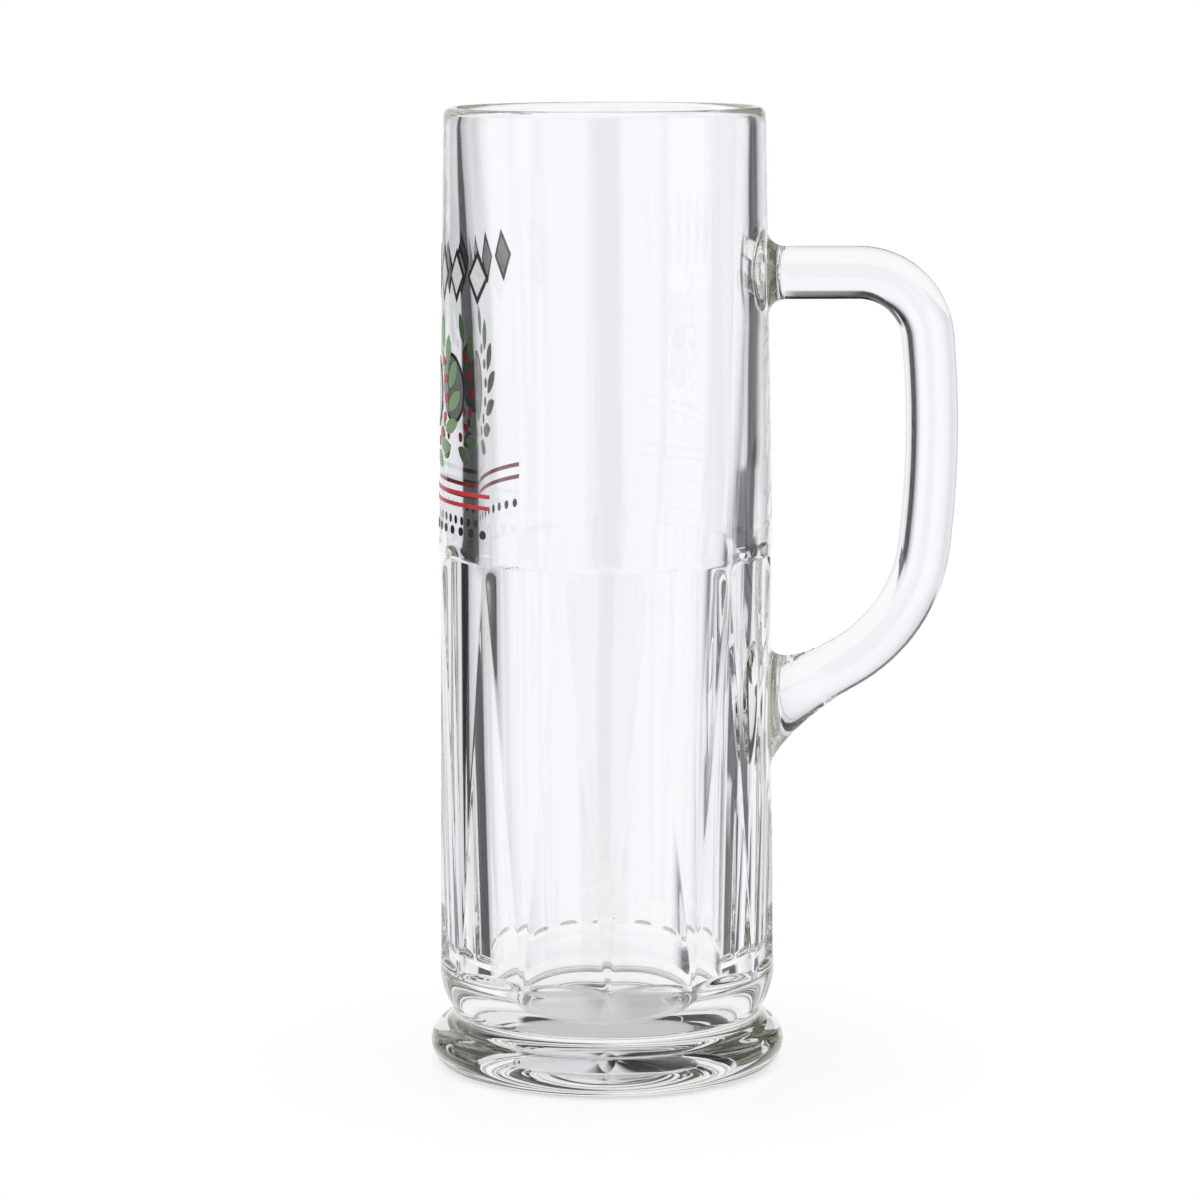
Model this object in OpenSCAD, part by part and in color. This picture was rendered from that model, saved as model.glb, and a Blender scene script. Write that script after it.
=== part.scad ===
// Tall beer mug of pressed clear glass, half a litre class.
// The frame has +Z up, the origin on the axis at the standing face, the handle
// towards +X and the fired-on decoration towards -X. All sizes are millimetres.

/* [Body] */
// Height from the standing face to the top of the rim
body_h = 217.3; // [200:0.1:240]
// Outer radius just under the rim
rim_r = 35.9; // [34:0.1:37]
// Glass thickness at the rim, which is rounded over
rim_wall = 3.4; // [2.8:0.1:4.2]
// Outer radius at the shoulder above the facets
shoulder_r = 37.7; // [37.5:0.1:38.2]

/* [Facets] */
// Number of flat panels round the lower half, with a wedge between each two
facet_n = 12; // [12:1:16]
// Height of the panels' top edges
facet_top_z = 117.4; // [100:0.2:119]
// Distance from the axis to a panel at its top edge
facet_r_top = 37; // [36.7:0.05:37.2]
// Distance from the axis to a panel at its lower tip
facet_r_low = 38; // [37.4:0.05:38.05]
// Width of a wedge at its upper tip
wedge_tip = 0.8; // [0.4:0.1:2]
// Width of a panel at its lower tip
panel_tip = 0.4; // [0.2:0.1:2]
// Height over which the ridges fade into the shoulder
ridge_fade = 4; // [2:0.5:8]

/* [Foot] */
// Outer radius of the foot bead
foot_r = 40.35; // [39.5:0.05:42]
// Radius in the groove between the foot and the heel
neck_r = 35.3; // [34.5:0.1:36.5]
// Height of the groove
neck_z = 12.1; // [11:0.1:14]
// Rounding in the groove
neck_round = 3; // [2:0.1:4]
// Outer radius of the heel ring
heel_r = 38.15; // [38.1:0.05:39]
// Rounding of the heel ring towards the groove
heel_round = 16; // [12:0.5:20]
// Height at which the heel ring turns in towards the panels
heel_z = 22.4; // [22.2:0.1:30]
// Rounding of the heel ring's upper edge
shelf_round = 3; // [2:0.2:5]
// Radius of the hollow under the base
punt_r = 33; // [20:0.5:34]
// Depth of the hollow under the base
punt_h = 6; // [1:0.1:8]

/* [Inside] */
// Height of the inside floor above the standing face
floor_z = 13; // [11:0.5:24]
// Inside radius where the wall meets the floor rounding
bore_r_low = 26.2; // [20:0.1:31]
// Rounding between the inside wall and the floor
floor_round = 9; // [4:0.5:14]

/* [Handle] */
// Thickness of the grip in the plane of the handle
grip_t = 11.9; // [9:0.1:14]
// Width of the grip across the plane of the handle
grip_w = 10; // [8:0.1:16]
// Distance from the axis to the outermost centre-line point
reach = 73.45; // [68:0.05:80]
// Distance from the rim's top down to the upper arm's centre line
arm_drop = 37.1; // [28:0.1:46]
// Bend radius at the upper corner
bend_top = 15.6; // [10:0.1:18]
// Bend radius of the long bow
bend_bow = 223; // [120:1:260]
// Bend radius at the lower corner
bend_low = 35.1; // [28:0.1:42]
// Slope of the bow where the upper corner ends
bow_start = 5.55; // [4:0.05:10]
// Slope of the bow where the lower corner starts
bow_end = 6.75; // [5:0.05:12]
// Slope of the lower arm
arm_slope = 29; // [25:0.5:40]
// Flare where the upper arm is sealed to the wall
collar_top = 3.8; // [1.5:0.1:4.5]
// Flare up and down where the lower arm is sealed to the wall
collar_low = 7.6; // [4:0.1:9]
// Flare to both sides where the lower arm is sealed to the wall
collar_side = 4; // [2:0.1:6]

/* [Decoration] */
// Thickness of the fired enamel
enamel_t = 0.12; // [0.08:0.01:0.3]
// Half of the angle that the decoration spans
deco_span = 47; // [36:1:60]
// Distance from the middle of the lozenge row down to the wreath's middle
lozenge_drop = 27; // [26:0.5:30]
// Width of one lozenge
lozenge_w = 7.2; // [6:0.1:7.6]
// Height of one lozenge
lozenge_h = 12; // [8:0.5:14]
// Number of lozenges in the row
lozenge_n = 7; // [3:2:7]
// Width of a black outline
outline_w = 0.9; // [0.5:0.1:1.2]
// Height of the wreath's middle above the panels
wreath_rise = 36.6; // [34:0.2:40]
// Radius of the wreath's stem circle
wreath_r = 13.5; // [12:0.5:15]
// Leaves on each side of the wreath
leaf_n = 7; // [5:1:8]
// Length of one leaf
leaf_l = 7; // [5:0.2:8]
// Width of one leaf
leaf_w = 3.2; // [2:0.1:4]
// Radius of one berry
berry_r = 1.15; // [0.8:0.05:1.4]
// Radius of the pale medallion inside the wreath
medal_r = 8; // [6:0.2:8.4]
// Height of the lower of the two rules above the panels
rule_rise = 12.6; // [11:0.2:14]
// Distance between the two rules
rule_pitch = 2.6; // [2:0.1:4]
// Height of one rule
rule_h = 0.9; // [0.5:0.1:1.4]
// Height of the dot row above the panels
dot_rise = 7.1; // [6:0.1:8]
// Radius of one dot
dot_r = 1; // [0.6:0.1:1.4]
// Number of dots in the row
dot_n = 15; // [7:2:17]

/* [Hidden] */
$fn = 72;

// Panels lean outwards on the way down and narrow to a tip. Between two panels stands a wedge,
// which leans inwards and widens on the way down. The crown is where two panels would meet.
facet_step = 360 / facet_n;
half_step = facet_step / 2;
crown_r = facet_r_top / cos(half_step);
facet_drop = facet_top_z - heel_z;
wedge_r_top = facet_r_top * cos(half_step)
    + (facet_r_top * tan(half_step) - wedge_tip / 2) * sin(half_step);
wedge_r_low = facet_r_low * cos(half_step) + panel_tip / 2 * sin(half_step);
cut_w = 2 * crown_r * tan(half_step);
cut_h = 4 * facet_top_z;
cut_reach = 2 * foot_r;

// Foot, groove and heel are three arcs that touch: bead, groove and heel centres
groove_c = [neck_r + neck_round, neck_z];
groove_in = groove_c.x - foot_r;
bead_sum = neck_z + neck_round - groove_in;
bead_r = bead_sum - sqrt(bead_sum ^ 2 - neck_z ^ 2 - groove_in ^ 2 + neck_round ^ 2);
bead_c = [foot_r - bead_r, bead_r];
heel_x = heel_r - heel_round;
heel_c = [heel_x, neck_z + sqrt((heel_round + neck_round) ^ 2 - (groove_c.x - heel_x) ^ 2)];
bead_turn = atan2(groove_c.y - bead_c.y, groove_c.x - bead_c.x);
heel_turn = atan2(heel_c.y - groove_c.y, heel_c.x - groove_c.x);
heel_end = asin(min(0, heel_z - heel_c.y) / heel_round);

// Rim and inside
lip_r = rim_wall / 2;
rim_z = body_h - lip_r;
wall_slope = (shoulder_r - rim_r) / (rim_z - facet_top_z);
punt_bow = (punt_r ^ 2 + punt_h ^ 2) / (2 * punt_h);
punt_turn = asin(punt_r / punt_bow);
floor_c = [bore_r_low - floor_round, floor_z + floor_round];

// Handle centre line: upper arm, three bends that touch, lower arm
arm_z = body_h - arm_drop;
bow_in = bend_bow - bend_top;
top_c = [reach - bend_bow + bow_in * cos(bow_start), arm_z - bend_top];
bow_c = top_c - bow_in * [cos(bow_start), sin(bow_start)];
low_c = bow_c + (bend_bow - bend_low) * [cos(bow_end), -sin(bow_end)];
low_turn = arm_slope - 90;
low_end = low_c + bend_low * [cos(low_turn), sin(low_turn)];
arm_wall = [wall_r(arm_z), arm_z];
low_wall = [facet_r_top, low_end.y - (low_end.x - facet_r_top) * tan(arm_slope)];
blend_gap = 1;
low_blend = norm(low_end - low_wall) - blend_gap;
bow_inset = 3;
ring_sides = 28;
seal_depth = 3;

// Decoration
wreath_z = facet_top_z + wreath_rise;
lozenge_z = wreath_z + lozenge_drop;
rule_z = facet_top_z + rule_rise;
dot_z = facet_top_z + dot_rise;
deco_margin = 2;
deco_top_z = lozenge_z + lozenge_h / 2 + deco_margin;
deco_low_z = dot_z - dot_r - deco_margin;
lozenge_pitch = 2 * deco_span / lozenge_n;
dot_pitch = 2 * deco_span / dot_n;
sprig_start = 12;
sprig_span = 150;
leaf_turn = 55;
leaf_pitch = sprig_span / leaf_n;
berry_inset = 1.6 * berry_r;
// Stamps reach in as far as the wall curves back at the wreath's side
wreath_reach = wreath_r + leaf_l;
stamp_depth = 2 * (shoulder_r - sqrt(shoulder_r ^ 2 - wreath_reach ^ 2) + deco_margin);

glass = [0.86, 0.91, 0.90];
enamel_grey = [0.80, 0.81, 0.80];
enamel_black = [0.08, 0.08, 0.09];
enamel_green = [0.45, 0.58, 0.40];
enamel_red = [0.74, 0.14, 0.13];

function arc(c, r, a0, a1, n) = [
    for (i = [0:n])
    let (a = a0 + (a1 - a0) * i / n)
    c + r * [cos(a), sin(a)]
];
function wall_r(z) = rim_r + wall_slope * (rim_z - z);

// Half outline of the whole glass body, from the hollow base over the rim to the inside floor
module body_outline() {
    outside = concat(
        arc([0, punt_h - punt_bow], punt_bow, 90, 90 - punt_turn, 6),
        arc(bead_c, bead_r, -90, bead_turn, 10),
        arc(groove_c, neck_round, bead_turn + 180, heel_turn, 6),
        arc(heel_c, heel_round, heel_turn - 180, heel_end, 8),
        [
            [heel_x + heel_round * cos(heel_end), heel_z],
            [crown_r, facet_top_z - ridge_fade],
            [shoulder_r, facet_top_z]
        ]
    );
    lip = arc([rim_r - lip_r, rim_z], lip_r, 0, 180, 8);
    inside = concat(
        arc(floor_c, floor_round, 0, -90, 8),
        [[0, floor_z]]
    );
    polygon(concat(outside, lip, inside));
}

// Everything outside one plane that passes r_top at the panels' top and r_low at the heel
module plane_cut(r_top, r_low) {
    translate([r_top, 0, facet_top_z])
        rotate([0, -atan((r_low - r_top) / facet_drop), 0])
        translate([0, -cut_w / 2, -cut_h / 2])
        cube([foot_r, cut_w, cut_h]);
}

// What stays round: the heel ring and everything under it
module heel_ring() {
    rotate_extrude()
        polygon(concat(
            [[0, 0], [cut_reach, 0], [cut_reach, heel_z]],
            arc([heel_r - shelf_round, heel_z], shelf_round, 0, 90, 6),
            [[0, heel_z + shelf_round]]
        ));
}

// What the panels and wedges take away, between the heel ring and the ledge at the panels' top
module facet_cuts() {
    difference() {
        intersection() {
            union() for (i = [0:facet_n - 1]) {
                rotate([0, 0, i * facet_step]) plane_cut(facet_r_top, facet_r_low);
                rotate([0, 0, (i + 0.5) * facet_step]) plane_cut(wedge_r_top, wedge_r_low);
            }
            cylinder(h = facet_top_z, r = cut_reach);
        }
        heel_ring();
    }
}

module mug_body() {
    color(glass, 0.45)
    difference() {
        rotate_extrude() body_outline();
        facet_cuts();
    }
}

// The body's outer form without its hollow, which the handle is sealed against
module body_form() {
    difference() {
        union() {
            translate([0, 0, heel_z])
                cylinder(h = facet_drop - ridge_fade, r1 = heel_r, r2 = crown_r);
            translate([0, 0, facet_top_z - ridge_fade])
                cylinder(h = ridge_fade, r1 = crown_r, r2 = shoulder_r);
            translate([0, 0, facet_top_z])
                cylinder(h = rim_z - facet_top_z, r1 = shoulder_r, r2 = rim_r);
        }
        facet_cuts();
    }
}

// One oval ring of the handle: tilt is the direction of its thickness in the XZ plane, grow and
// spread widen it along and across that plane
function ring(p, tilt, grow, spread, lean = 0) = [
    for (k = [0:ring_sides - 1])
    let (
        a = 360 * k / ring_sides,
        t = (grip_t / 2 / cos(lean) + grow) * cos(a),
        w = (grip_w / 2 + spread) * sin(a)
    )
    [p.x + t * cos(tilt), w, p.y + t * sin(tilt)]
];

// Rings of a bend round the centre c, from angle a0 to a1
function bend_rings(c, r, a0, a1, n) = [
    for (i = [0:n])
    let (a = a0 + (a1 - a0) * i / n)
    ring(c + r * [cos(a), sin(a)], a, 0, 0)
];

// Rings of the flare at the upper seal, from inside the wall outwards
function top_seal_rings(n) = concat(
    [ring(arm_wall - [seal_depth, 0], 90, collar_top, collar_top)],
    [for (i = [n:-1:0])
        let (
            a = 90 * i / n,
            grow = collar_top * (1 - cos(a))
        )
        ring(arm_wall + [collar_top * (1 - sin(a)), 0], 90, grow, grow)]
);

// Rings of the flare at the lower seal, which turn upright as they near the wall
function low_seal_rings(n) = concat(
    [for (i = [0:n])
        let (
            a = 90 * i / n,
            d = low_blend * (1 - sin(a)),
            lean = arm_slope * sin(a)
        )
        ring(low_wall + d * [cos(arm_slope), sin(arm_slope)], low_turn - lean,
             collar_low * (1 - cos(a)), collar_side * (1 - cos(a)), lean)],
    [ring(low_wall - [seal_depth, 0], -90, collar_low, collar_side, arm_slope)]
);

// Closed skin over a list of rings
module loft(rings) {
    last = len(rings) - 1;
    side_faces = [
        for (i = [0:last - 1], k = [0:ring_sides - 1])
        let (j = (k + 1) % ring_sides, a = i * ring_sides, b = a + ring_sides)
        each [[a + k, b + k, b + j], [a + k, b + j, a + j]]
    ];
    start_face = [for (k = [0:ring_sides - 1]) k];
    end_face = [for (k = [ring_sides - 1:-1:0]) last * ring_sides + k];
    polyhedron([for (r = rings) each r], concat(side_faces, [start_face, end_face]));
}

module handle() {
    color(glass, 0.6)
    difference() {
        loft(concat(
            top_seal_rings(5),
            bend_rings(top_c, bend_top, 90, bow_start, 7),
            bend_rings(bow_c, bend_bow, bow_start - bow_inset, bow_inset - bow_end, 5),
            bend_rings(low_c, bend_low, -bow_end, low_turn, 6),
            low_seal_rings(6)
        ));
        body_form();
    }
}

// Thin skin on the conical wall between two heights
module skin(z0, z1) {
    rotate_extrude()
        polygon([
            [wall_r(z0), z0], [wall_r(z0) + enamel_t, z0],
            [wall_r(z1) + enamel_t, z1], [wall_r(z1), z1]
        ]);
}

// Runs a flat motif straight through the wall, at an angle from the -X side
module stamp(turn, z) {
    rotate([0, 0, 180 + turn])
        translate([shoulder_r - stamp_depth / 2, 0, z])
        rotate([90, 0, 90])
        linear_extrude(stamp_depth) children();
}

module on_wall() {
    intersection() {
        skin(deco_low_z, deco_top_z);
        union() children();
    }
}

module lozenge(w, h) {
    polygon([[w / 2, 0], [0, h / 2], [-w / 2, 0], [0, -h / 2]]);
}

module lozenge_row() {
    for (i = [0:lozenge_n - 1])
        stamp((i - (lozenge_n - 1) / 2) * lozenge_pitch, lozenge_z) children();
}

module print_lozenges() {
    color(enamel_grey)
    on_wall() lozenge_row() lozenge(lozenge_w - 2 * outline_w, lozenge_h - 4 * outline_w);
}

module print_lozenge_frames() {
    color(enamel_black)
    on_wall() lozenge_row() difference() {
        lozenge(lozenge_w, lozenge_h);
        lozenge(lozenge_w - 2 * outline_w, lozenge_h - 4 * outline_w);
    }
}

// Pointed leaf from two circles that cross, its stalk at the origin
module leaf() {
    bow = (leaf_l ^ 2 + leaf_w ^ 2) / (4 * leaf_w);
    translate([leaf_l / 2, 0])
        intersection_for (side = [-1, 1])
        translate([0, side * (bow - leaf_w / 2)]) circle(r = bow);
}

// Places its child along both sprigs of the wreath, open at the top
module sprigs(count, start) {
    for (side = [0, 1])
        mirror([side, 0])
        for (i = [0:count - 1])
        rotate(start + i * leaf_pitch - 90)
        translate([wreath_r, 0]) children();
}

module print_leaves() {
    color(enamel_green)
    on_wall() stamp(0, wreath_z) sprigs(leaf_n, sprig_start) rotate(leaf_turn) leaf();
}

module print_berries() {
    color(enamel_red)
    on_wall() stamp(0, wreath_z) sprigs(leaf_n - 1, sprig_start + leaf_pitch / 2)
        translate([-berry_inset, 0]) circle(r = berry_r);
}

module print_medallion() {
    color(enamel_grey)
    on_wall() stamp(0, wreath_z) circle(r = medal_r - outline_w);
}

module print_rings() {
    color(enamel_black)
    on_wall() stamp(0, wreath_z) difference() {
        circle(r = medal_r);
        circle(r = medal_r - outline_w);
    }
}

module rule(z) {
    rotate_extrude(angle = 2 * deco_span, start = 180 - deco_span)
        polygon([
            [wall_r(z), z], [wall_r(z) + enamel_t, z],
            [wall_r(z + rule_h) + enamel_t, z + rule_h], [wall_r(z + rule_h), z + rule_h]
        ]);
}

module print_rules() {
    color(enamel_red)
    for (i = [0:1]) rule(rule_z + i * rule_pitch);
}

module print_dots() {
    color(enamel_black)
    on_wall() for (i = [0:dot_n - 1])
        stamp((i - (dot_n - 1) / 2) * dot_pitch, dot_z) circle(r = dot_r);
}

mug_body();
handle();
print_lozenges();
print_lozenge_frames();
print_leaves();
print_berries();
print_medallion();
print_rings();
print_rules();
print_dots();
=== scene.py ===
"""Looks of the beer mug: one clear glass skin over body and handle, enamel print, studio and camera."""
import math

import bpy
import numpy as np
from mathutils import Matrix


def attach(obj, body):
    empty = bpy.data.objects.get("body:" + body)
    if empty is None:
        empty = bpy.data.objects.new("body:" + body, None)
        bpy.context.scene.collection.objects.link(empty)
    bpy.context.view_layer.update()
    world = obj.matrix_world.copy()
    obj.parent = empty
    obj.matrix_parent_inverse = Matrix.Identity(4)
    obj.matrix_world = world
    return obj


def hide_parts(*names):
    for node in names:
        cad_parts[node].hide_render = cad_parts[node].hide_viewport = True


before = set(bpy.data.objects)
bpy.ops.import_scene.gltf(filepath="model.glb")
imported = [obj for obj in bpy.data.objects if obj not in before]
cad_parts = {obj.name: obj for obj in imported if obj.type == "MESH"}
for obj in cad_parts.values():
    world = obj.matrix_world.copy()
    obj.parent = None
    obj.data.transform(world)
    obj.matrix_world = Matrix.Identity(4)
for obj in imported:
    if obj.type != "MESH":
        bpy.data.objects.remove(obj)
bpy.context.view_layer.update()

MM = 0.001

# Body sizes in millimetres, the same driving sizes that the solids have
BODY_H = 217.3
RIM_R = 35.9
RIM_WALL = 3.4
SHOULDER_R = 37.7
FACET_N = 12
FACET_TOP_Z = 117.4
FACET_R_TOP = 37.0
FACET_R_LOW = 38.0
WEDGE_TIP = 0.8
PANEL_TIP = 0.4
RIDGE_FADE = 4.0
FOOT_R = 40.35
NECK_R = 35.3
NECK_Z = 12.1
NECK_ROUND = 3.0
HEEL_R = 38.15
HEEL_ROUND = 16.0
HEEL_Z = 22.4
SHELF_ROUND = 3.0
PUNT_R = 33.0
PUNT_H = 6.0
FLOOR_Z = 13.0
BORE_R_LOW = 26.2
FLOOR_ROUND = 9.0

# Handle sizes in millimetres
GRIP_T = 11.9
GRIP_W = 10.0
REACH = 73.45
ARM_Z = 180.2
BEND_TOP = 15.6
BEND_BOW = 223.0
BEND_LOW = 35.1
BOW_START = math.radians(5.55)
BOW_END = math.radians(6.75)
ARM_SLOPE = math.radians(29.0)
COLLAR_TOP = 3.8
COLLAR_LOW = 7.6
COLLAR_SIDE = 4.0
BLEND_GAP = 1.0

# Softness of the edges and fineness of the glass skin
EDGE_SOFT = 0.35
CREASE_SOFT = 0.1
RUN_SOFT = 0.6
SEAL_SOFT = 2.0
LEDGE_RISE = 0.6
CORNER_ROUND = 2.2
SKIN_PROUD = 0.02
PANEL_COLS = 10
WEDGE_COLS = 10
PAD_COLS = 29
PAD_ROWS = 22
PAD_MARGIN = 1.6
EVEN_TURN = math.radians(7.5)
EVEN_START = 3.0
EVEN_RUN = 30.0
PROUD_ABOVE = 1.0
POLE_R = 0.4
WALL_TRIES = 6

# The lower seal melts the creases near it: the side that faces the handle, and reach in seal sizes
SEAL_SIDE = 0.7
SEAL_REACH = 2.1

# Row spacing of the outer skin in millimetres
ROW_STEP = 2.0
HEEL_STEP = 0.6
SHELF_STEP = 0.15
SHELF_OVER = 1.0
LEDGE_STEP = 0.12
LEDGE_OVER = 1.2

# Steps along the rounded parts of the section and along the handle
PUNT_STEPS = 14
BEAD_STEPS = 26
GROOVE_STEPS = 12
LIP_STEPS = 16
BORE_ROWS = 70
FLOOR_STEPS = 18
FLAT_SHARES = (0.75, 0.5, 0.25)
TOP_RINGS = 10
LOW_RINGS = 14
ARM_RINGS = 8
BEND_RINGS = 16
BOW_RINGS = 18
LOW_ARM_RINGS = 4
SKIRT_SHARES = (0.2, 0.4, 0.6, 0.8)

# The press left the bore slightly off centre: heights and offsets towards the handle
BORE_LEAN_Z = (13.0, 70.0, 140.0, 170.0, 215.6)
BORE_LEAN = (-0.5, -0.5, 0.7, 0.7, 0.0)

# Clear glass: tint where it is thick, and the faint waviness of pressing
GLASS_IOR = 1.51
GLASS_TINT = (0.8, 0.82, 0.68)
GLASS_DENSITY = 3.5
GLASS_BOUNCES = 48
WAVE_SCALE = 60.0
WAVE_DETAIL = 1.0
WAVE_STRENGTH = 0.05
WAVE_DEPTH = 0.0006

# Fired enamel: colours, grain of the film and gloss
GREY = (0.62, 0.64, 0.63)
BLACK = (0.015, 0.015, 0.018)
GREEN = (0.20, 0.34, 0.17)
RED = (0.52, 0.025, 0.03)
GRAIN_SCALE = 900.0
GRAIN_DETAIL = 3.0
GRAIN_RANGE = (0.3, 0.7)
GRAIN_TONES = (0.86, 1.06)
FILM_STRENGTH = 0.25
FILM_DEPTH = 0.00005
ENAMEL_ROUGH = 0.32

# Camera fitted to the photo: millimetres for the lens, metres and radians for the rest
LENS = 128.95
SENSOR = 36.0
CAM_DISTANCE = 0.9735
CAM_PITCH = math.radians(8.41)
CAM_ROLL = math.radians(-0.18)
CAM_AIM = (-0.00136, 0.0, 0.1062)

# Floor disc in metres: a painted glow over most of it, full at its edge, hides most of its real shadow;
# under the foot the glow is lower, so a large part there is a plain lit surface with its shadow
FLOOR_R = 0.105
FLOOR_SIDES = 96
FLOOR_TONE = 0.97
FLOOR_ROUGH = 0.12
FLOOR_GLOSS = 0.3
FLOOR_FADE = (0.05, 0.1)
FLOOR_GLOW = 0.88
UNDER_FOOT = (0.034, 0.042)
UNDER_GLOW = 0.55

# Studio's wall: tones by compass angle from +X in degrees, as bent and mirrored rays see it
WHITE = (1, 1, 1, 1)
DARK = 0.03
BACK_HIGH = [
    (30, 0.86), (40, 0.75), (42, 0.6), (44, 0.02), (57, 0.02), (59, 0.2), (62, 0.55), (66, 0.85),
    (70, 1.0), (99, 1.0), (108, 0.95), (116, 0.88), (126, 0.8), (150, 0.8), (154, 1.0),
]
BACK_LOW = [
    (20, 0.92), (27, 0.85), (29, 0.12), (56.5, 0.12), (59, 0.8), (70, 1.0),
    (99, 1.0), (105, 0.92), (114, 0.88), (126, 0.8), (150, 0.8), (154, 1.0),
]
FRONT = [
    (215, 1.0), (217, DARK), (221, DARK), (224, 0.85), (256, 0.85), (257, DARK), (279, DARK),
    (280, 0.85), (296, 0.9), (302, 1.0), (350, 1.0), (351, 0.3), (359, 0.3),
]
SHADE_TINT = (0.86, 0.89, 1.0)
LIGHT_TINT = (0.962, 0.969, 1.0)

# Flags that only rays mirrored inside or on the glass see: low ones for looks from above
MIRROR_BACK = [(120, 1.0), (126, 0.75), (127.5, DARK), (166, DARK), (172, 1.0)]
MIRROR_LOW = [
    (76, 1.0), (77, DARK), (99, DARK), (100, 1.0),
    (170, 1.0), (171, DARK), (193, DARK), (194, 1.0),
]

# Heights of the flags' edges as the sine of the elevation, and the dim room above the backdrop
FLAG_SPLIT = (-0.255, -0.235)
FLAG_LOW = (-0.34, -0.31)
BACKDROP_TOP = (0.42, 0.55)
MIRROR_TOP = (0.1, 0.2)
ROOM = [(1, DARK), (84, DARK), (92, 0.85), (165, 0.85), (175, DARK), (359, DARK)]

STEP = 2 * math.pi / FACET_N
HALF = STEP / 2
HALF_COLS = PANEL_COLS + WEDGE_COLS
COLS = FACET_N * 2 * HALF_COLS


def arc(cx, cz, r, a0, a1, n):
    """Points of an arc in the half section, angles in radians."""
    angles = np.linspace(a0, a1, n + 1)
    return [(cx + r * math.cos(a), cz + r * math.sin(a)) for a in angles]


class Outline:
    """Derived sizes of the half section and of the panel and wedge planes."""
    crown = FACET_R_TOP / math.cos(HALF)
    drop = FACET_TOP_Z - HEEL_Z
    wedge_side = FACET_R_TOP * math.tan(HALF) - WEDGE_TIP / 2
    wedge_top = FACET_R_TOP * math.cos(HALF) + wedge_side * math.sin(HALF)
    wedge_low = FACET_R_LOW * math.cos(HALF) + PANEL_TIP / 2 * math.sin(HALF)
    panel_slope = (FACET_R_LOW - FACET_R_TOP) / drop
    wedge_slope = (wedge_low - wedge_top) / drop
    groove = (NECK_R + NECK_ROUND, NECK_Z)
    groove_in = groove[0] - FOOT_R
    bead_sum = NECK_Z + NECK_ROUND - groove_in
    bead = bead_sum - math.sqrt(bead_sum ** 2 - NECK_Z ** 2 - groove_in ** 2 + NECK_ROUND ** 2)
    bead_x = FOOT_R - bead
    heel_x = HEEL_R - HEEL_ROUND
    heel_z = NECK_Z + math.sqrt((HEEL_ROUND + NECK_ROUND) ** 2 - (groove[0] - heel_x) ** 2)
    bead_turn = math.atan2(NECK_Z - bead, groove[0] - bead_x)
    heel_turn = math.atan2(heel_z - NECK_Z, heel_x - groove[0])
    heel_low_z = heel_z + HEEL_ROUND * math.sin(heel_turn - math.pi)
    rim_z = BODY_H - RIM_WALL / 2
    wall_slope = (SHOULDER_R - RIM_R) / (rim_z - FACET_TOP_Z)
    punt_bow = (PUNT_R ** 2 + PUNT_H ** 2) / (2 * PUNT_H)


def wall_r(z):
    return RIM_R + Outline.wall_slope * (Outline.rim_z - z)


def panel_r(z):
    return FACET_R_TOP + (FACET_TOP_Z - z) * Outline.panel_slope


def wedge_r(z):
    return Outline.wedge_top + (FACET_TOP_Z - z) * Outline.wedge_slope


def crease(z):
    """Angle from a panel's middle to the crease between panel and wedge."""
    z = min(max(z, HEEL_Z), FACET_TOP_Z)
    across = (wedge_r(z) - panel_r(z) * math.cos(HALF)) / math.sin(HALF)
    return math.atan2(across, panel_r(z))


def round_r(z):
    """Radius of the outer form before panels and wedges are cut, from the heel to the rim."""
    fade_z = FACET_TOP_Z - RIDGE_FADE
    if z < Outline.heel_z:
        drop = min(HEEL_ROUND, Outline.heel_z - z)
        return Outline.heel_x + math.sqrt(HEEL_ROUND ** 2 - drop ** 2)
    if z < HEEL_Z:
        return HEEL_R
    if z < fade_z:
        return HEEL_R + (z - HEEL_Z) / (fade_z - HEEL_Z) * (Outline.crown - HEEL_R)
    if z < FACET_TOP_Z:
        return Outline.crown + (z - fade_z) / RIDGE_FADE * (SHOULDER_R - Outline.crown)
    return wall_r(z)


def soft_min(a, b, k):
    h = max(k - abs(a - b), 0.0) / k
    return min(a, b) - h * h * k / 4


def crease_soft(theta, z):
    """Softness of a crease, which melts away round the handle's lower seal."""
    if math.cos(theta) < SEAL_SIDE:
        return CREASE_SOFT
    across = FACET_R_TOP * math.sin(theta) / (GRIP_W / 2 + COLLAR_SIDE)
    up = (z - Handle.low_wall[1]) / (Handle.low_half - PAD_MARGIN)
    near = min(max(SEAL_REACH - math.hypot(across, up), 0.0), 1.0)
    return CREASE_SOFT + SEAL_SOFT * near * near * (3 - 2 * near)


def ledge_z(rel):
    """Height of a panel's top edge, which rounds down at its two corners."""
    t = FACET_R_TOP * math.tan(abs(rel))
    over = t - (FACET_R_TOP * math.tan(HALF) - CORNER_ROUND)
    if over <= 0:
        return FACET_TOP_Z
    over = min(over / CORNER_ROUND, 1.0)
    return FACET_TOP_Z - CORNER_ROUND * (1 - math.sqrt(1 - over * over))


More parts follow.
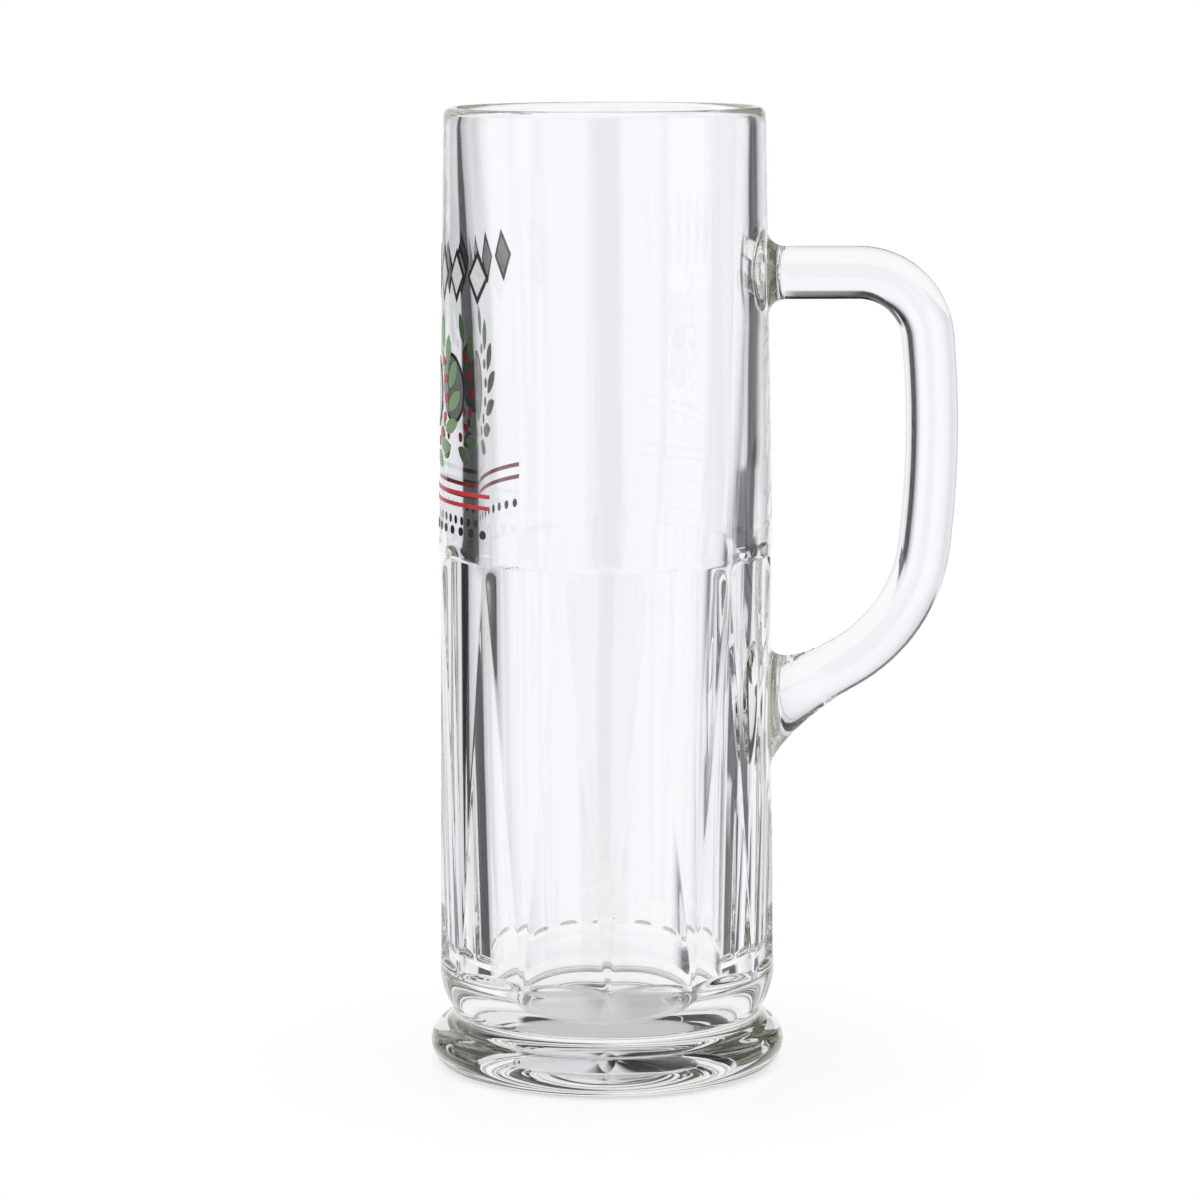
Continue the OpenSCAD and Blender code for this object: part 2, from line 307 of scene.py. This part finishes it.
def outer_r(theta, z):
    """Outer radius at an angle and height, with panels, wedges, heel ring and soft edges."""
    if z <= HEEL_Z:
        return round_r(z)
    rel = (theta + HALF) % STEP - HALF
    top = ledge_z(rel)
    panel = panel_r(min(z, top)) + max(z - top, 0.0) * LEDGE_RISE
    r = round_r(z)
    if z < FACET_TOP_Z:
        wedge = wedge_r(z) / math.cos(HALF - abs(rel))
        flat = soft_min(panel / math.cos(rel), wedge, crease_soft(theta, z))
        r = soft_min(r, flat, EDGE_SOFT)
    else:
        r = soft_min(r, panel / math.cos(rel), EDGE_SOFT)
    rise = z - HEEL_Z
    if rise < SHELF_ROUND:
        ring = HEEL_R - SHELF_ROUND + math.sqrt(SHELF_ROUND ** 2 - rise ** 2)
        r = -soft_min(-r, -ring, RUN_SOFT * min(1.0, rise) + 1e-3)
    return r


def column_angles(turn):
    """Angles of the grid's columns, column 0 at +X, close together at the creases."""
    panel = [turn * math.sin(math.pi / 2 * k / PANEL_COLS) for k in range(PANEL_COLS + 1)]
    wedge = [
        turn + (HALF - turn) * (1 - math.cos(math.pi / 2 * k / WEDGE_COLS))
        for k in range(1, WEDGE_COLS + 1)
    ]
    half = panel + wedge
    sector = half + [STEP - a for a in half[-2:0:-1]]
    return [s * STEP + a for s in range(FACET_N) for a in sector]


def row_turn(z):
    """Where the columns gather: along the creases, and evenly again on the round wall."""
    blend = min(max((z - FACET_TOP_Z - EVEN_START) / EVEN_RUN, 0.0), 1.0)
    return crease(z) + blend * (EVEN_TURN - crease(z))


def spaced(z0, z1, step):
    n = max(1, math.ceil(abs(z1 - z0) / step))
    return list(np.linspace(z0, z1, n + 1))


def pad_span(centre, half):
    return list(np.linspace(centre - half, centre + half, PAD_ROWS + 1))


class Handle:
    """Derived sizes of the handle's centre line, in its own XZ plane."""
    bow_in = BEND_BOW - BEND_TOP
    top_c = np.array([REACH - BEND_BOW + bow_in * math.cos(BOW_START), ARM_Z - BEND_TOP])
    bow_c = top_c - bow_in * np.array([math.cos(BOW_START), math.sin(BOW_START)])
    low_c = bow_c + (BEND_BOW - BEND_LOW) * np.array([math.cos(BOW_END), -math.sin(BOW_END)])
    low_turn = ARM_SLOPE - math.pi / 2
    low_end = low_c + BEND_LOW * np.array([math.cos(low_turn), math.sin(low_turn)])
    arm_dir = np.array([math.cos(ARM_SLOPE), math.sin(ARM_SLOPE)])
    top_wall = np.array([wall_r(ARM_Z), ARM_Z])
    low_wall = np.array([FACET_R_TOP, low_end[1] - (low_end[0] - FACET_R_TOP) * math.tan(ARM_SLOPE)])
    low_blend = np.linalg.norm(low_end - low_wall) - BLEND_GAP
    top_half = GRIP_T / 2 + COLLAR_TOP + PAD_MARGIN
    low_half = GRIP_T / 2 / math.cos(ARM_SLOPE) + COLLAR_LOW + PAD_MARGIN


def outer_rows():
    """Heights of the outer skin's rows from the heel to the rim, with the pads' rows marked."""
    low = pad_span(Handle.low_wall[1], Handle.low_half)
    top = pad_span(ARM_Z, Handle.top_half)
    ledge = FACET_TOP_Z - RIDGE_FADE
    rows = spaced(Outline.heel_low_z, HEEL_Z - HEEL_STEP, HEEL_STEP)
    rows += spaced(rows[-1], HEEL_Z + SHELF_ROUND + SHELF_OVER, SHELF_STEP)[1:]
    rows += spaced(rows[-1], low[0], ROW_STEP)[1:]
    low_at = len(rows) - 1
    rows += low[1:]
    rows += spaced(low[-1], ledge, ROW_STEP)[1:]
    rows += spaced(ledge, FACET_TOP_Z + LEDGE_OVER, LEDGE_STEP)[1:]
    rows += spaced(rows[-1], top[0], ROW_STEP)[1:]
    top_at = len(rows) - 1
    rows += top[1:]
    rows += spaced(top[-1], Outline.rim_z, ROW_STEP)[1:]
    return rows, low_at, top_at


def ring_of(r, z, angles, shift=0.0):
    return [(shift + r * math.cos(a), r * math.sin(a), z) for a in angles]


def bore_shift(z):
    return float(np.interp(z, BORE_LEAN_Z, BORE_LEAN))


def outer_ring(z):
    """One ring of the outer skin, its columns on the creases of that height."""
    proud = SKIN_PROUD if z > FACET_TOP_Z + PROUD_ABOVE else 0.0
    ring = []
    for a in column_angles(row_turn(z)):
        r = outer_r(a, z) + proud
        ring.append((r * math.cos(a), r * math.sin(a), z))
    return ring


def body_rings():
    """Rings of vertices from the hollow's centre over the foot, wall and rim to the inside floor."""
    up = math.pi / 2
    turn = math.asin(PUNT_R / Outline.punt_bow)
    under = arc(0, PUNT_H - Outline.punt_bow, Outline.punt_bow, up, up - turn, PUNT_STEPS)
    under[0] = (POLE_R, PUNT_H)
    foot = arc(Outline.bead_x, Outline.bead, Outline.bead, -up, Outline.bead_turn, BEAD_STEPS)
    groove_turn = Outline.bead_turn + math.pi
    groove = arc(*Outline.groove, NECK_ROUND, groove_turn, Outline.heel_turn, GROOVE_STEPS)
    lip = arc(RIM_R - RIM_WALL / 2, Outline.rim_z, RIM_WALL / 2, 0, math.pi, LIP_STEPS)
    mouth = RIM_R - RIM_WALL
    low_z = FLOOR_Z + FLOOR_ROUND
    bore = [
        (mouth + f * (BORE_R_LOW - mouth), Outline.rim_z + f * (low_z - Outline.rim_z))
        for f in np.linspace(0, 1, BORE_ROWS)[1:]
    ]
    flat_r = BORE_R_LOW - FLOOR_ROUND
    floor = arc(flat_r, low_z, FLOOR_ROUND, 0, -up, FLOOR_STEPS)
    flat = [(f * flat_r, FLOOR_Z) for f in FLAT_SHARES] + [(POLE_R, FLOOR_Z)]
    rows, low_at, top_at = outer_rows()
    low_angles = column_angles(row_turn(rows[0]))
    top_angles = column_angles(row_turn(rows[-1]))
    rings = [ring_of(r, z, low_angles) for r, z in under + foot + groove[1:-1]]
    first = len(rings)
    rings += [outer_ring(z) for z in rows]
    inside = lip[1:] + bore + floor[1:] + flat
    rings += [ring_of(r, z, top_angles, bore_shift(z)) for r, z in inside]
    return rings, first + low_at, first + top_at


def wall_x(y, z):
    """Where the outer skin lies in X at the pads, for a point across and up the wall."""
    x = FACET_R_TOP
    for _ in range(WALL_TRIES):
        r = outer_r(math.atan2(y, x), z)
        x = math.sqrt(max(r * r - y * y, 1.0))
    return x


def pad_loop(row0, upper):
    """Grid places round a pad's window, in order of the handle's section angle from its outer side."""
    top = row0 + PAD_ROWS
    across = range(-PAD_COLS, PAD_COLS)
    loop = [(top, c) for c in range(0, PAD_COLS)]
    loop += [(top - k, PAD_COLS) for k in range(PAD_ROWS)]
    loop += [(row0, -c) for c in across]
    loop += [(row0 + k, -PAD_COLS) for k in range(PAD_ROWS)]
    loop += [(top, c) for c in range(-PAD_COLS, 0)]
    if not upper:
        loop = [(row0 + top - r, c) for r, c in loop]
    return loop


def section_angles(points, centre, half, upper):
    """Angle of each window vertex round the handle's section, 0 at the outer side of the bow."""
    sign = 1 if upper else -1
    return np.unwrap([math.atan2(p[1] / half, sign * (p[2] - centre) / half) for p in points])


def ring_points(p, tilt, angles, grow=0.0, spread=0.0, lean=0.0):
    """One oval ring of the handle, widened along and across the handle's plane by grow and spread."""
    t = (GRIP_T / 2 / math.cos(lean) + grow) * np.cos(angles)
    w = (GRIP_W / 2 + spread) * np.sin(angles)
    return np.stack([p[0] + t * math.cos(tilt), w, p[1] + t * math.sin(tilt)], axis=1)


def on_wall(points, share, base_x):
    """Bends a flat ring towards the wall's own curve: share 1 follows it fully."""
    bent = points.copy()
    for q in bent:
        q[0] += share * (wall_x(q[1], q[2]) - base_x)
    return bent


def bend_path(c, r, a0, a1, n):
    return [(c + r * np.array([math.cos(a), math.sin(a)]), a) for a in np.linspace(a0, a1, n + 1)]


def handle_rings(top_loop, low_loop):
    """Rings of the handle from the upper window's edge to the lower one's."""
    up_angles = section_angles(top_loop, ARM_Z, Handle.top_half, True)
    low_angles = section_angles(low_loop, Handle.low_wall[1], Handle.low_half, False)

    def collar_up():
        rings = []
        for i in range(TOP_RINGS, -1, -1):
            a = math.pi / 2 * i / TOP_RINGS
            off = COLLAR_TOP * (1 - math.sin(a))
            p = Handle.top_wall + np.array([off, 0])
            grow = COLLAR_TOP * (1 - math.cos(a))
            flat = ring_points(p, math.pi / 2, up_angles, grow, grow)
            rings.append(on_wall(flat, i / TOP_RINGS, Handle.top_wall[0]))
        return rings

    def collar_low():
        rings = []
        for i in range(LOW_RINGS + 1):
            a = math.pi / 2 * i / LOW_RINGS
            d = Handle.low_blend * (1 - math.sin(a))
            lean = ARM_SLOPE * math.sin(a)
            p = Handle.low_wall + d * Handle.arm_dir
            grow = COLLAR_LOW * (1 - math.cos(a))
            spread = COLLAR_SIDE * (1 - math.cos(a))
            flat = ring_points(p, Handle.low_turn - lean, low_angles, grow, spread, lean)
            rings.append(on_wall(flat, math.sin(a) ** 2, Handle.low_wall[0]))
        return rings

    first = collar_up()
    last = collar_low()
    arm_end = Handle.top_c[0] - Handle.top_wall[0]
    path = [(Handle.top_wall + np.array([f, 0]), math.pi / 2)
            for f in np.linspace(COLLAR_TOP, arm_end, ARM_RINGS)[1:-1]]
    path += bend_path(Handle.top_c, BEND_TOP, math.pi / 2, BOW_START, BEND_RINGS)
    path += bend_path(Handle.bow_c, BEND_BOW, BOW_START, -BOW_END, BOW_RINGS)[1:]
    path += bend_path(Handle.low_c, BEND_LOW, -BOW_END, Handle.low_turn, BEND_RINGS)[1:]
    low_start = Handle.low_wall + Handle.low_blend * Handle.arm_dir
    path += [(Handle.low_end + f * (low_start - Handle.low_end), Handle.low_turn)
             for f in np.linspace(0, 1, LOW_ARM_RINGS)[1:-1]]
    middle = []
    for i, (p, tilt) in enumerate(path):
        f = (i + 1) / (len(path) + 1)
        middle.append(ring_points(p, tilt, up_angles + f * (low_angles - up_angles)))

    def skirt(loop, ring):
        loop = np.array(loop)
        steps = []
        for f in SKIRT_SHARES:
            flat = loop + f * (ring - loop)
            for q in flat:
                q[0] = wall_x(q[1], q[2])
            steps.append(flat)
        return steps

    return skirt(top_loop, first[0]) + first + middle + last + skirt(low_loop, last[-1])[::-1]


def glass_mesh():
    """The whole glass as one closed skin: body grid with two windows, and the handle between them."""
    rings, low_row, top_row = body_rings()
    verts = [v for ring in rings for v in ring]
    faces = []

    def at(row, col):
        return row * COLS + col % COLS

    def in_window(row, col):
        c = (col + COLS // 2) % COLS - COLS // 2
        return -PAD_COLS <= c < PAD_COLS and any(
            first <= row < first + PAD_ROWS for first in (low_row, top_row)
        )

    for row in range(len(rings) - 1):
        for col in range(COLS):
            if not in_window(row, col):
                faces.append((at(row, col), at(row, col + 1), at(row + 1, col + 1), at(row + 1, col)))
    faces.append([at(0, c) for c in range(COLS - 1, -1, -1)])
    faces.append([at(len(rings) - 1, c) for c in range(COLS)])

    top_ids = [at(r, c) for r, c in pad_loop(top_row, True)]
    low_ids = [at(r, c) for r, c in pad_loop(low_row, False)]
    tube = handle_rings([verts[i] for i in top_ids], [verts[i] for i in low_ids])
    loops = [top_ids]
    for ring in tube:
        loops.append(list(range(len(verts), len(verts) + len(ring))))
        verts += [tuple(q) for q in ring]
    loops.append(low_ids)
    for a, b in zip(loops[:-1], loops[1:]):
        for k in range(len(a)):
            j = (k + 1) % len(a)
            faces.append((a[j], a[k], b[k], b[j]))
    mesh = bpy.data.meshes.new("mug_glass")
    mesh.from_pydata([(x * MM, y * MM, z * MM) for x, y, z in verts], [], faces)
    mesh.validate()
    mesh.shade_smooth()
    return mesh


def shader(name):
    """New node material with its Principled shader."""
    mat = bpy.data.materials.new(name)
    mat.use_nodes = True
    return mat, mat.node_tree, mat.node_tree.nodes["Principled BSDF"]


def math_node(tree, operation, *inputs):
    """One Math node; inputs are numbers or sockets."""
    node = tree.nodes.new("ShaderNodeMath")
    node.operation = operation
    for i, value in enumerate(inputs):
        if isinstance(value, (int, float)):
            node.inputs[i].default_value = value
        else:
            tree.links.new(value, node.inputs[i])
    return node.outputs[0]


def smooth_step(tree, value, start, end, low=0.0, high=1.0):
    """Soft step from low at start to high at end."""
    node = tree.nodes.new("ShaderNodeMapRange")
    node.interpolation_type = "SMOOTHSTEP"
    node.inputs["From Min"].default_value = start
    node.inputs["From Max"].default_value = end
    node.inputs["To Min"].default_value = low
    node.inputs["To Max"].default_value = high
    tree.links.new(value, node.inputs["Value"])
    return node.outputs["Result"]


def glass_material():
    """Clear soda-lime glass: faint waviness of pressed glass, faint green where it is thick."""
    mat, tree, bsdf = shader("clear_glass")
    bsdf.inputs["Base Color"].default_value = WHITE
    bsdf.inputs["Roughness"].default_value = 0.0
    bsdf.inputs["IOR"].default_value = GLASS_IOR
    bsdf.inputs["Transmission Weight"].default_value = 1.0
    coords = tree.nodes.new("ShaderNodeTexCoord")
    wave = tree.nodes.new("ShaderNodeTexNoise")
    wave.inputs["Scale"].default_value = WAVE_SCALE
    wave.inputs["Detail"].default_value = WAVE_DETAIL
    bump = tree.nodes.new("ShaderNodeBump")
    bump.inputs["Strength"].default_value = WAVE_STRENGTH
    bump.inputs["Distance"].default_value = WAVE_DEPTH
    tree.links.new(coords.outputs["Object"], wave.inputs["Vector"])
    tree.links.new(wave.outputs["Fac"], bump.inputs["Height"])
    tree.links.new(bump.outputs["Normal"], bsdf.inputs["Normal"])
    volume = tree.nodes.new("ShaderNodeVolumeAbsorption")
    volume.inputs["Color"].default_value = (*GLASS_TINT, 1)
    volume.inputs["Density"].default_value = GLASS_DENSITY
    tree.links.new(volume.outputs["Volume"], tree.nodes["Material Output"].inputs["Volume"])
    return mat


def enamel_material(name, colour):
    """Fired ceramic enamel: satin gloss with a fine uneven film."""
    mat, tree, bsdf = shader(name)
    coords = tree.nodes.new("ShaderNodeTexCoord")
    grain = tree.nodes.new("ShaderNodeTexNoise")
    grain.inputs["Scale"].default_value = GRAIN_SCALE
    grain.inputs["Detail"].default_value = GRAIN_DETAIL
    ramp = tree.nodes.new("ShaderNodeValToRGB")
    for stop, place, tone in zip(ramp.color_ramp.elements, GRAIN_RANGE, GRAIN_TONES):
        stop.position = place
        stop.color = (*[min(1, c * tone) for c in colour], 1)
    bump = tree.nodes.new("ShaderNodeBump")
    bump.inputs["Strength"].default_value = FILM_STRENGTH
    bump.inputs["Distance"].default_value = FILM_DEPTH
    tree.links.new(coords.outputs["Object"], grain.inputs["Vector"])
    tree.links.new(grain.outputs["Fac"], ramp.inputs["Fac"])
    tree.links.new(ramp.outputs["Color"], bsdf.inputs["Base Color"])
    tree.links.new(grain.outputs["Fac"], bump.inputs["Height"])
    tree.links.new(bump.outputs["Normal"], bsdf.inputs["Normal"])
    bsdf.inputs["Roughness"].default_value = ENAMEL_ROUGH
    return mat


def set_material(obj, mat):
    obj.data.materials.clear()
    obj.data.materials.append(mat)


def make_glass():
    mesh = glass_mesh()
    glass = bpy.data.objects.new("mug_glass", mesh)
    bpy.context.scene.collection.objects.link(glass)
    set_material(glass, glass_material())
    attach(glass, "root")
    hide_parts("mug_body", "handle")


def dress_print():
    """Gives each enamel solid its fired colour."""
    grey = enamel_material("enamel_grey", GREY)
    black = enamel_material("enamel_black", BLACK)
    green = enamel_material("enamel_green", GREEN)
    red = enamel_material("enamel_red", RED)
    looks = {
        "print_lozenges": grey, "print_lozenge_frames": black, "print_leaves": green,
        "print_berries": red, "print_medallion": grey, "print_rings": black,
        "print_rules": red, "print_dots": black,
    }
    for node, mat in looks.items():
        set_material(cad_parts[node], mat)


def make_floor():
    """Small pale floor with a painted glow: keeps only part of the foot's shadow and faint mirror image,
    more of it under the foot, and is white at its edge.
    """
    mesh = bpy.data.meshes.new("floor")
    turns = [2 * math.pi * i / FLOOR_SIDES for i in range(FLOOR_SIDES)]
    mesh.from_pydata(ring_of(FLOOR_R, 0, turns), [], [list(range(FLOOR_SIDES))])
    floor = bpy.data.objects.new("floor", mesh)
    bpy.context.scene.collection.objects.link(floor)
    mat, tree, bsdf = shader("white_floor")
    bsdf.inputs["Base Color"].default_value = (FLOOR_TONE, FLOOR_TONE, FLOOR_TONE, 1)
    bsdf.inputs["Roughness"].default_value = FLOOR_ROUGH
    bsdf.inputs["Specular IOR Level"].default_value = FLOOR_GLOSS
    coords = tree.nodes.new("ShaderNodeTexCoord")
    reach = tree.nodes.new("ShaderNodeVectorMath")
    reach.operation = "LENGTH"
    tree.links.new(coords.outputs["Object"], reach.inputs[0])
    # Painted glow over the lit floor: fades to full at the edge and is lower under the foot, so more of
    # the real shadow shows there
    fade = smooth_step(tree, reach.outputs["Value"], *FLOOR_FADE, FLOOR_GLOW, 1.0)
    shade = smooth_step(tree, reach.outputs["Value"], *UNDER_FOOT, UNDER_GLOW, 1.0)
    glow = tree.nodes.new("ShaderNodeEmission")
    mix = tree.nodes.new("ShaderNodeMixShader")
    tree.links.new(math_node(tree, "MULTIPLY", fade, shade), mix.inputs["Fac"])
    tree.links.new(bsdf.outputs["BSDF"], mix.inputs[1])
    tree.links.new(glow.outputs["Emission"], mix.inputs[2])
    tree.links.new(mix.outputs["Shader"], tree.nodes["Material Output"].inputs["Surface"])
    set_material(floor, mat)


def mix_colours(tree, share, first, second):
    """Mix of two colours, each a value or a socket."""
    node = tree.nodes.new("ShaderNodeMix")
    node.data_type = "RGBA"
    tree.links.new(share, node.inputs["Factor"])
    colour_in = [i for i in node.inputs if i.type == "RGBA"]
    for socket, colour in zip(colour_in, (first, second)):
        if isinstance(colour, tuple):
            socket.default_value = colour
        else:
            tree.links.new(colour, socket)
    return [o for o in node.outputs if o.type == "RGBA"][0]


def darker(tree, first, second):
    """The darker of two colours, channel by channel."""
    node = tree.nodes.new("ShaderNodeVectorMath")
    node.operation = "MINIMUM"
    tree.links.new(first, node.inputs[0])
    tree.links.new(second, node.inputs[1])
    return node.outputs[0]


def flag_ramp(tree, turn, flags):
    """Tone of the studio's wall by compass angle: white, with dark flags of soft or sharp edges."""
    ramp = tree.nodes.new("ShaderNodeValToRGB")
    stops = ramp.color_ramp.elements
    stops[0].position = 0.0
    stops[0].color = (*LIGHT_TINT, 1)
    stops[1].position = 1.0
    stops[1].color = (*LIGHT_TINT, 1)
    for angle, tone in flags:
        stop = stops.new(angle / 360)
        stop.color = (*[tone * (c + tone * (d - c)) for c, d in zip(SHADE_TINT, LIGHT_TINT)], 1)
    tree.links.new(turn, ramp.inputs["Fac"])
    return ramp.outputs["Color"]


def compass(tree):
    """Share of a full turn from +X, and height, of the direction that a ray leaves in."""
    coords = tree.nodes.new("ShaderNodeTexCoord")
    split = tree.nodes.new("ShaderNodeSeparateXYZ")
    tree.links.new(coords.outputs["Generated"], split.inputs[0])
    angle = math_node(tree, "ARCTAN2", split.outputs["Y"], split.outputs["X"])
    turn = math_node(tree, "FRACT", math_node(tree, "DIVIDE", angle, 2 * math.pi))
    return turn, split.outputs["Z"]


def make_world():
    """Plain white light; bent and mirrored rays see a white studio with dark flags, as glass is lit."""
    world = bpy.data.worlds.new("studio")
    bpy.context.scene.world = world
    world.use_nodes = True
    tree = world.node_tree
    back = tree.nodes["Background"]
    turn, rise = compass(tree)
    low_wall = flag_ramp(tree, turn, BACK_LOW + FRONT)
    high_wall = flag_ramp(tree, turn, BACK_HIGH + FRONT)
    wall = mix_colours(tree, smooth_step(tree, rise, *FLAG_SPLIT), low_wall, high_wall)
    path = tree.nodes.new("ShaderNodeLightPath")
    mirrored = math_node(tree, "MINIMUM", path.outputs["Glossy Depth"], 1.0)
    bent = math_node(tree, "MAXIMUM", path.outputs["Is Glossy Ray"], path.outputs["Is Transmission Ray"])
    low = smooth_step(tree, rise, *FLAG_LOW)
    mirror_low = flag_ramp(tree, turn, MIRROR_LOW)
    mirror_back = flag_ramp(tree, turn, MIRROR_BACK)
    mirror_wall = mix_colours(tree, low, mirror_low, mirror_back)
    wall = mix_colours(tree, low, WHITE, wall)
    wall = darker(tree, wall, mix_colours(tree, mirrored, WHITE, mirror_wall))
    mirror_top = math_node(tree, "MULTIPLY", mirrored, smooth_step(tree, rise, *MIRROR_TOP))
    above = math_node(tree, "MAXIMUM", smooth_step(tree, rise, *BACKDROP_TOP), mirror_top)
    wall = mix_colours(tree, above, wall, flag_ramp(tree, turn, ROOM))
    tree.links.new(mix_colours(tree, bent, WHITE, wall), back.inputs["Color"])
    back.inputs["Strength"].default_value = 1.0


def make_camera():
    """Camera at the photo's distance, tilt and roll."""
    cam = bpy.data.cameras.new("camera")
    cam.sensor_width = SENSOR
    cam.lens = LENS
    obj = bpy.data.objects.new("camera", cam)
    bpy.context.scene.collection.objects.link(obj)
    back = CAM_DISTANCE * math.cos(CAM_PITCH)
    up = CAM_DISTANCE * math.sin(CAM_PITCH)
    obj.location = (CAM_AIM[0], CAM_AIM[1] - back, CAM_AIM[2] + up)
    turned = Matrix.Rotation(math.pi / 2 - CAM_PITCH, 3, "X") @ Matrix.Rotation(CAM_ROLL, 3, "Z")
    obj.rotation_euler = turned.to_euler()
    bpy.context.scene.camera = obj


def let_light_through(cycles):
    """Enough bounces for light that runs round inside the foot and heel before it comes out."""
    cycles.max_bounces = GLASS_BOUNCES
    cycles.transmission_bounces = GLASS_BOUNCES
    cycles.glossy_bounces = GLASS_BOUNCES


make_glass()
dress_print()
make_floor()
make_world()
make_camera()
bpy.context.scene.view_settings.view_transform = "Standard"
let_light_through(bpy.context.scene.cycles)
